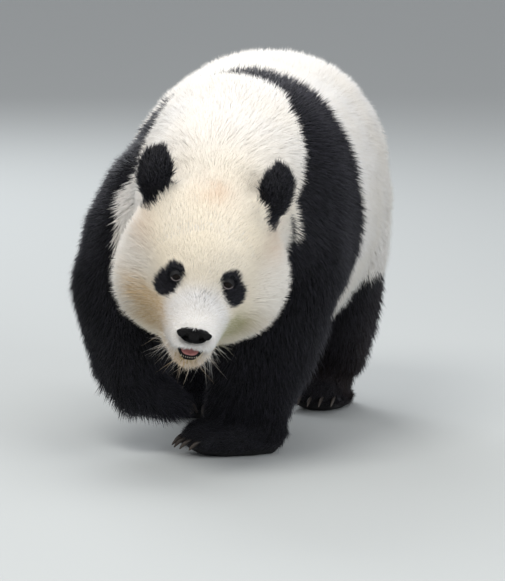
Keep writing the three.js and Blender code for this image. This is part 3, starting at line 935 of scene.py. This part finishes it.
class Scatter(Nodes):
    """The geometry nodes that set tufts over the hide."""

    def __init__(self, name):
        self.tree = bpy.data.node_groups.new(name, "GeometryNodeTree")
        for label, kind in (
            ("Hide", "Geometry"), ("Black", "Bool"), ("Shapes", "Collection"), ("Fur", "Material"),
            ("Seed", "Int"), ("Fray", "Float"), ("Stray", "Float"), ("Softness", "Float"), ("Patch", "Float"),
        ):
            self.tree.interface.new_socket(label, in_out="INPUT", socket_type=f"NodeSocket{kind}")
        self.tree.interface.new_socket("Coat", in_out="OUTPUT", socket_type="NodeSocketGeometry")
        self.given = self.node("NodeGroupInput").outputs
        self.build()

    def geometry(self, kind, inputs=(), settings=()):
        """The first output of a geometry node."""
        return self.node(f"GeometryNode{kind}", settings, inputs).outputs[0]

    def named(self, name, data_type="FLOAT"):
        return self.geometry("InputNamedAttribute", {"Name": name}, {"data_type": data_type})

    def stored(self, geometry, name, value, data_type="FLOAT", domain="POINT"):
        inputs = {"Geometry": geometry, "Name": name, "Value": value}
        settings = {"data_type": data_type, "domain": domain}
        return self.geometry("StoreNamedAttribute", inputs, settings)

    def random(self, least, most, seed_step):
        node = self.node("FunctionNodeRandomValue")
        self.put(node.inputs["Seed"], self.math("ADD", self.given["Seed"], seed_step))
        self.put(node.inputs[2], least)
        self.put(node.inputs[3], most)
        return node.outputs[1]

    def vector(self, operation, *values):
        node = self.node("ShaderNodeVectorMath", {"operation": operation})
        for socket, value in zip(node.inputs, values):
            self.put(socket, value)
        return node.outputs[0]

    def turned(self, rotation, *angles):
        """A rotation turned further about its own axes."""
        euler = self.node("ShaderNodeCombineXYZ", {}, dict(enumerate(angles))).outputs[0]
        further = self.node("FunctionNodeEulerToRotation", {}, {0: euler}).outputs[0]
        inputs = {"Rotation": rotation, "Rotate By": further}
        return self.node("FunctionNodeRotateRotation", {"rotation_space": "LOCAL"}, inputs).outputs[0]

    def build(self):
        given = self.given
        inputs = {"Mesh": given["Hide"], "Density": self.named("tufts_per_area"), "Seed": given["Seed"]}
        scatter = self.node("GeometryNodeDistributePointsOnFaces", {}, inputs)
        # A tuft is black where its root, moved a little at random, lies inside the edge of the black.
        frayed = self.math("MULTIPLY_ADD", self.random(-1, 1, 1), given["Fray"], self.named("in_black"))
        alike = self.math("COMPARE", self.math("GREATER_THAN", frayed, 0.0), given["Black"], 0.5)
        points = scatter.outputs["Points"]
        roots = self.geometry("SeparateGeometry", {"Geometry": points, "Selection": alike})
        roots = self.stored(roots, "root_normal", scatter.outputs["Normal"], "FLOAT_VECTOR")
        roots = self.stored(roots, "root_place", self.named("OFBake", "FLOAT_VECTOR"), "FLOAT_VECTOR")
        roots = self.stored(roots, "hue", self.random(0, 1, 2))
        # It points along the lie, strays to a side and is lifted.
        axes = {
            "Primary Axis": self.named("root_normal", "FLOAT_VECTOR"),
            "Secondary Axis": self.named("lie", "FLOAT_VECTOR"),
        }
        rotation = self.node("FunctionNodeAxesToRotation", {}, axes).outputs[0]
        stray = self.times(self.random(-1, 1, 3), given["Stray"])
        rotation = self.turned(rotation, 0.0, 0.0, stray)
        lift = self.times(self.named("fur_lift"), self.random(*lift_range, 4))
        rotation = self.turned(rotation, self.random(*roll_range, 5), lift, 0.0)
        length = self.times(self.named("fur_length"), self.random(*length_range, 6))
        width = self.times(self.named("fur_length"), self.random(*width_range, 7))
        shapes = self.geometry("CollectionInfo", {0: given["Shapes"], 1: True, 2: True})
        pick = self.node("FunctionNodeRandomValue", {"data_type": "INT"}, {4: 0, 5: 2})
        self.put(pick.inputs["Seed"], self.math("ADD", given["Seed"], 8))
        scale = self.node("ShaderNodeCombineXYZ", {}, {0: length, 1: width, 2: width}).outputs[0]
        coat = self.geometry("InstanceOnPoints", {
            "Points": roots, "Instance": shapes, "Pick Instance": True, "Instance Index": pick.outputs[2],
            "Rotation": rotation, "Scale": scale,
        })
        coat = self.geometry("RealizeInstances", {0: coat})
        # Each tuft is a small patch of the map, at its root's place on the hide.
        inputs = {0: self.named("patch", "FLOAT_VECTOR"), "Scale": given["Patch"]}
        patch = self.node("ShaderNodeVectorMath", {"operation": "SCALE"}, inputs).outputs[0]
        patch = self.vector("ADD", self.named("root_place", "FLOAT_VECTOR"), patch)
        coat = self.stored(coat, "OFBake", patch, "FLOAT2", "CORNER")
        # Its normals lean towards the skin's, so that the coat is shaded as one soft surface.
        own = self.geometry("InputNormal")
        inputs = {0: given["Softness"], 4: own, 5: self.named("root_normal", "FLOAT_VECTOR")}
        blend = self.node("ShaderNodeMix", {"data_type": "VECTOR"}, inputs)
        soft = self.vector("NORMALIZE", blend.outputs[1])
        coat = self.geometry("SetMeshNormal", {"Mesh": coat, "Custom Normal": soft}, {"mode": "FREE"})
        # What the looks don't use is dropped from the coat.
        for spare in (
            "patch", "root_place", "root_normal", "lie", "fur_length", "fur_lift", "tufts_per_area",
            "bare", "in_mouth", "lid_rim", "in_black",
        ):
            coat = self.geometry("RemoveAttribute", {"Geometry": coat, "Name": spare})
        coat = self.geometry("SetMaterial", {"Geometry": coat, "Material": given["Fur"]})
        self.put(self.node("NodeGroupOutput").inputs[0], coat)


scatter_tufts = Scatter("tufts over the hide").tree
inputs_of = {item.name: item.identifier for item in scatter_tufts.interface.items_tree}

# White fur, cream in places, rust between the ears and stained on the cheeks, with dark hairs among
# the white on the bridge of the nose, and paler to the tips.
white_fur = Finish("white coat")
tone = white_fur.mix(white_fur.value("cream"), (0.88, 0.875, 0.885, 1), (0.87, 0.78, 0.62, 1))
uneven = white_fur.spread(white_fur.value("hue"), 0.0, 1.0, 0.45, 1.15)
for tint, most, colour in (
    ("rust", 0.80, (0.66, 0.41, 0.24, 1)),
    ("stain", 0.90, (0.58, 0.35, 0.10, 1)),
    ("olive", 0.90, (0.28, 0.28, 0.07, 1)),
):
    tinting = white_fur.times(white_fur.times(white_fur.value(tint), most), uneven)
    tone = white_fur.mix(tinting, tone, colour)
tone = white_fur.tinted(tone, (0.62, 0.54, 0.45, 1), "tip_share", 0.0, 0.6, 0.22, 0.0)
tone = white_fur.tinted(tone, (0.66, 0.58, 0.48, 1), "hue", 0.2, 1.0, 0.0, 0.30)
dark_hair = white_fur.spread(white_fur.value("hue"), 0.78, 0.84)
dark_hair = white_fur.times(white_fur.value("speckled"), dark_hair)
tone = white_fur.mix(white_fur.times(dark_hair, 0.85), tone, (0.09, 0.085, 0.10, 1))
white_fur.finish({
    "Base Color": tone, "Roughness": 0.60, "Specular IOR Level": 0.25,
    "Sheen Weight": 0.15, "Sheen Roughness": 0.5,
})

# Black fur turns brown on the hind legs. The tips of some of its tufts are painted a lighter, cool grey: a
# painted sheen that stands for the light glinting on them.
black_fur = Finish("black coat")
tone = black_fur.mix(black_fur.value("hue"), (0.0018, 0.0020, 0.0028, 1), (0.0095, 0.0098, 0.0135, 1))
browning = black_fur.times(black_fur.value("brown"), 0.6)
tone = black_fur.mix(browning, tone, (0.040, 0.024, 0.017, 1))
# Painted sheen: the tips of a share of the tufts are lightened to a cool grey.
painted_sheen = black_fur.spread(black_fur.value("tip_share"), 0.3, 1.0, 0.0, 0.8)
painted_sheen = black_fur.times(painted_sheen, black_fur.spread(black_fur.value("hue"), 0.4, 1.0))
tone = black_fur.mix(painted_sheen, tone, (0.050, 0.046, 0.062, 1))
black_fur.finish({
    "Base Color": tone, "Roughness": 0.40, "Specular IOR Level": 0.20,
    "Sheen Weight": 0.07, "Sheen Roughness": 0.40, "Sheen Tint": (0.50, 0.49, 0.60, 1),
})

patch_width = 0.003  # of a tuft on the map of colours


def grow(name, tufts_per_area, shapes, seed, stray, softness, changes=(), fray=0.005):
    """Grows the white and the black tufts of an area, each as one piece."""
    for colour, is_dark, fur_look in (("white", False, white_fur), ("black", True, black_fur)):
        coat = added(f"{name}_{colour}", hide.data.copy())
        keep(coat.data, "tufts_per_area", tufts_per_area * (1 - step(0.3, 0.7, bare)))
        for layer, values in dict(changes).items():
            keep(coat.data, layer, values)
        growth = coat.modifiers.new("growth", "NODES")
        growth.node_group = scatter_tufts
        for label, value in {
            "Black": is_dark, "Shapes": shapes, "Fur": fur_look.material, "Seed": seed, "Fray": fray,
            "Stray": stray, "Softness": softness * (0.45 if is_dark else 1.0), "Patch": patch_width,
        }.items():
            growth[inputs_of[label]] = value
        made_plain(coat)
        if not coat.data.polygons:
            bpy.data.objects.remove(coat)
            continue
        tuft_corners = read(coat.data)
        tuft_corners[:, 2] = np.maximum(tuft_corners[:, 2], low[2] + 0.0003)  # kept above the floor
        move(coat.data, tuft_corners)
        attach(coat, "root")


# The areas, each with its tufts for each square metre. The body is parted left and right, ahead of its
# middle and behind, and into an upper and a lower half, so that no piece grows too heavy.
is_face = (face_share * (1 - ruff_share) > 0.5) & (behind < 0.04)
is_ear = ear_share > 0.5
is_head = (head_share > 0.5) & ~is_face & ~is_ear
is_rest = ~(is_face | is_ear | is_head)
sparser_below = 1 - 0.35 * step(-0.2, -0.8, facing_up)
grow("coat_face", 430000 * is_face, face_locks, seed=11, stray=0.26, softness=0.52, fray=0.002)
grow("coat_crown", 190000 * is_head, head_locks, seed=12, stray=0.26, softness=0.52)
grow("coat_ears", 300000 * is_ear, head_locks, seed=13, stray=0.35, softness=0.40)
body_density = 125000 * sparser_below
middle = along(0.5)
waist = up(0.5)
back_edge = up(0.8)
seed = 20
for hand, on_side in (("left", x > 0), ("right", x <= 0)):
    for area, softness, here in (
        ("shoulder", 0.55, (y < middle) & (z >= waist)),
        ("foreleg", 0.50, (y < middle) & (z < waist)),
        ("back", 0.50, (y >= middle) & (z >= back_edge)),
        ("flank", 0.45, (y >= middle) & (z >= waist) & (z < back_edge)),
        ("hindleg", 0.50, (y >= middle) & (z < waist)),
    ):
        tufts_per_area = body_density * (is_rest & on_side & here)
        grow(f"coat_{area}_{hand}", tufts_per_area, body_locks, seed, 0.24, softness)
        seed += 1

# Whiskers and long hairs stand out round the lips and the chin.
whisker_length = 0.062
whisker_lift = math.radians(50)
whiskered = head_share * step(0.075, 0.055, abs(across)) * step(-0.105, -0.125, above)
whiskered = whiskered * step(0.02, -0.02, behind)
whisker_growth = {"fur_length": 0 * x + whisker_length, "fur_lift": 0 * x + whisker_lift}
grow("whiskers", 7500 * whiskered, whisker_locks, 41, stray=0.7, softness=0.2, changes=whisker_growth)


# ---- eyes ----
# Small glass eyes, set before the lids are drawn over them: a dark brown iris round an upright slit,
# and a clear cornea that bulges a little at the front and is polished.
iris_half = math.radians(52)
slit_half_width = 0.14
slit_half_height = 0.40
cornea_rise = 0.05
cornea_half = 0.45

glass = Finish("eye glass")
side = glass.value("side")
over = glass.value("over")


def round_reach(half_width, half_height):
    """How far out a point of the eye lies, where 1 is the edge of an oval about its middle."""
    wide = glass.math("DIVIDE", side, half_width)
    tall = glass.math("DIVIDE", over, half_height)
    return glass.math("SQRT", glass.math("ADD", glass.times(wide, wide), glass.times(tall, tall)))


iris_edge = math.sin(iris_half)
out_of_iris = glass.spread(round_reach(iris_edge, iris_edge), 0.93, 1.05)
out_of_slit = glass.spread(round_reach(slit_half_width, slit_half_height), 0.85, 1.10)
iris_colour = glass.mix(glass.cloudy(700), (0.0030, 0.0018, 0.0014, 1), (0.0085, 0.0050, 0.0035, 1))
iris_colour = glass.mix(out_of_slit, (0.001, 0.001, 0.001, 1), iris_colour)
iris_colour = glass.mix(out_of_iris, iris_colour, (0.0070, 0.0045, 0.0040, 1))
glass.finish({"Base Color": iris_colour, "Roughness": 0.05, "IOR": 1.36, "Specular IOR Level": 0.22})

for node in ("eye_left", "eye_right"):
    eye_at = on_skull(centre(node))
    gaze = unit(np.array([0.25 * np.sign(eye_at[0]), -1.0, -0.05]))
    beside_gaze = unit(np.cross((0, 0, 1), gaze))
    over_gaze = np.cross(gaze, beside_gaze)
    ways_out, ball_faces = ball(48, 32)
    off_gaze = np.arccos(np.clip(ways_out @ gaze, -1, 1))
    reach = eye_radius * (1 + cornea_rise * np.exp(-(off_gaze / cornea_half) ** 2))
    eye_corners = off_skull(eye_at + ways_out * reach[:, None])
    eyeball = new_piece(node.replace("eye", "eyeball"), eye_corners, ball_faces)
    keep(eyeball.data, "side", ways_out @ beside_gaze)
    keep(eyeball.data, "over", ways_out @ over_gaze)
    dress(eyeball, glass)
    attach(eyeball, "root")
    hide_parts(node)


# ---- nose ----
# The nose pad is bare black leather with a fine pebbled grain: wide above and narrower below, with a
# nostril at each side that trails outwards, and a groove down from the middle.
nose_radii = np.array((0.0360, 0.0145, 0.0140))
nose_squareness = 2.5
nose_top_share = 0.32  # of the height below the pad's middle
narrowing_below = 0.42
corner_rise = 0.40
top_dip = 0.20
groove_half = 0.0012
groove_depth = 0.0022
rim_height = 0.0009
nostril_start = np.array((0.0150, 0.0000))
nostril_end = np.array((0.0285, -0.0005))
nostril_depth = 0.009
nostril_half = 0.0048
nostril_narrowing = 0.0032
nostril_edge = 0.0012
ways_out, ball_faces = ball(160, 96)
squared = np.sum(abs(ways_out) ** nose_squareness, axis=1) ** (-1 / nose_squareness)
pad = ways_out * squared[:, None]
across, behind, above = pad.T
across *= 1 - narrowing_below * step(0.1, -1.0, above)
above *= np.where(above > 0, nose_top_share, 1.0)
above += corner_rise * across ** 2
above -= top_dip * np.exp(-(across / 0.5) ** 2) * step(-0.2, 0.4, above)
pad *= nose_radii
toward_front = step(0.1, -0.3, ways_out[:, 1])
nostril_line = nostril_end - nostril_start
sunk = np.zeros(len(pad))
for hand in (-1, 1):
    on_pad = np.stack([hand * across, above], axis=1) - nostril_start
    way_along = np.clip(on_pad @ nostril_line / (nostril_line @ nostril_line), 0, 1)
    off_line = np.linalg.norm(on_pad - way_along[:, None] * nostril_line, axis=1)
    opening = nostril_half - nostril_narrowing * way_along
    sunk = np.maximum(sunk, step(opening + nostril_edge, opening - nostril_edge, off_line))
    rim = np.exp(-((off_line - opening - 0.0024) / 0.0016) ** 2)
    behind -= rim_height * rim * toward_front
behind += nostril_depth * sunk * toward_front
groove = np.exp(-(across / groove_half) ** 2) * step(0.002, -0.003, above)
behind += groove_depth * groove * toward_front
nose_pad = new_piece("nose_pad", off_skull(pad + nose_at + (0, 0, 0.0025)), ball_faces)
# The nostrils' share is kept for the painted shade in them.
keep(nose_pad.data, "sunk", sunk * toward_front)

leather = Finish("nose leather")
grain = leather.spread(leather.cells(850), 0.10, 0.55, 1.0, 0.0)
leather_colour = leather.mix(leather.cloudy(120), (0.0012, 0.0012, 0.0015, 1), (0.0030, 0.0030, 0.0036, 1))
# Painted shade: the sunk nostrils are darkened below the leather's own colour.
leather_colour = leather.tinted(leather_colour, (0.0008, 0.0008, 0.0008, 1), "sunk")
leather.bump(grain, 0.0004)
leather.finish({
    "Base Color": leather_colour, "Roughness": leather.spread(leather.cloudy(90), 0.2, 0.8, 0.38, 0.55),
    "Specular IOR Level": 0.06,
})
dress(nose_pad, leather)
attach(nose_pad, "root")
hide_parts("nose")


# ---- tongue and teeth ----
# A soft pink tongue lies on the floor of the mouth, grooved along its middle, and the small front teeth
# of the lower jaw stand in a bow behind the lip, with a canine at each end.
tongue_at = on_skull(centre("tongue"))
tongue_radii = np.array((0.0210, 0.0345, 0.0050))
tongue_slope = math.atan(0.38)
tongue_groove = 0.0018
tongue_edge_rise = 0.0012
ways_out, ball_faces = ball(72, 40)
blunt = np.sum(abs(ways_out[:, :2]) ** 3, axis=1)
blunt = np.hypot(ways_out[:, 0], ways_out[:, 1]) / np.maximum(blunt, 1e-9) ** (1 / 3)
body = ways_out * tongue_radii
body[:, :2] *= blunt[:, None]
across, behind, above = body.T
above -= tongue_groove * np.exp(-(across / 0.0022) ** 2) * step(0.1, 0.6, ways_out[:, 2])
above += tongue_edge_rise * (across / tongue_radii[0]) ** 2
slope_cos, slope_sin = math.cos(tongue_slope), math.sin(tongue_slope)
sloped_behind = behind * slope_cos - above * slope_sin
sloped_above = behind * slope_sin + above * slope_cos
laid = np.stack([across, sloped_behind, sloped_above], axis=1)
soft_tongue = new_piece("soft_tongue", off_skull(laid + tongue_at + (0, 0, 0.001)), ball_faces)
flesh = Finish("tongue")
flesh_colour = flesh.mix(flesh.cloudy(160), (0.50, 0.17, 0.16, 1), (0.66, 0.29, 0.27, 1))
flesh.bump(flesh.cells(1300), 0.0003)
flesh.finish({
    "Base Color": flesh_colour, "Roughness": 0.42, "Coat Weight": 0.35, "Coat Roughness": 0.18,
    "Subsurface Weight": 0.15, "Subsurface Scale": 0.004,
})
dress(soft_tongue, flesh)
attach(soft_tongue, "root")
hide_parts("tongue")

tooth_pitch = 0.0045
teeth = []
for place in (-4, -3, -2, -1, 1, 2, 3, 4):
    canine = abs(place) == 4
    radii = (0.0016, 0.0016, 0.0032) if canine else (0.0010, 0.0010, 0.0018)
    spread_out = np.sign(place) * (abs(place) - 0.5) * tooth_pitch
    root = np.array((spread_out, -0.0325 + 14.0 * spread_out ** 2, -0.0170))
    crown, crown_faces = ball(14, 10)
    crown[:, :2] *= (1 - 0.35 * step(0.0, 1.0, crown[:, 2]))[:, None]
    teeth.append((crown * radii + root + tongue_at, crown_faces))
teeth_corners, teeth_faces = joined(teeth)
lower_teeth = new_piece("lower_teeth", off_skull(teeth_corners), teeth_faces)
enamel = Finish("enamel")
enamel_colour = enamel.mix(enamel.cloudy(300), (0.40, 0.34, 0.25, 1), (0.50, 0.45, 0.36, 1))
enamel.finish({"Base Color": enamel_colour, "Roughness": 0.28, "Coat Weight": 0.3, "Coat Roughness": 0.1})
dress(lower_teeth, enamel)
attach(lower_teeth, "root")


# ---- claws ----
# A curved claw of brown horn grows from each toe, paler and worn at its point, and streaked along its
# length. The five of a foot are one piece.
horn = Finish("claw horn")
streaks = horn.cloudy(420, 5.0)
horn_colour = horn.mix(streaks, (0.016, 0.012, 0.010, 1), (0.036, 0.028, 0.023, 1))
horn_colour = horn.tinted(horn_colour, (0.055, 0.044, 0.035, 1), "to_point", 0.35, 1.0, 0.0, 0.7)
horn.bump(streaks, 0.0003)
horn.finish({"Base Color": horn_colour, "Roughness": 0.40, "Specular IOR Level": 0.30})

for foot in foot_nodes:
    claw_parts = []
    to_point = []
    for toe in range(1, 6):
        claw_corners, claw_faces, _ = welded(f"claw_{foot}_{toe}")
        reach = claw_corners @ toes_of(foot)
        to_point.append((reach - reach.min()) / (reach.max() - reach.min()))
        claw_parts.append((claw_corners, claw_faces))
    claws = new_piece(f"claws_{foot}", *joined(claw_parts))
    keep(claws.data, "to_point", np.concatenate(to_point))
    rounding = claws.modifiers.new("rounding", "SUBSURF")
    rounding.levels = rounding.render_levels = 2
    made_plain(claws)
    dress(claws, horn)
    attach(claws, "root")
    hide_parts(*(f"claw_{foot}_{toe}" for toe in range(1, 6)))
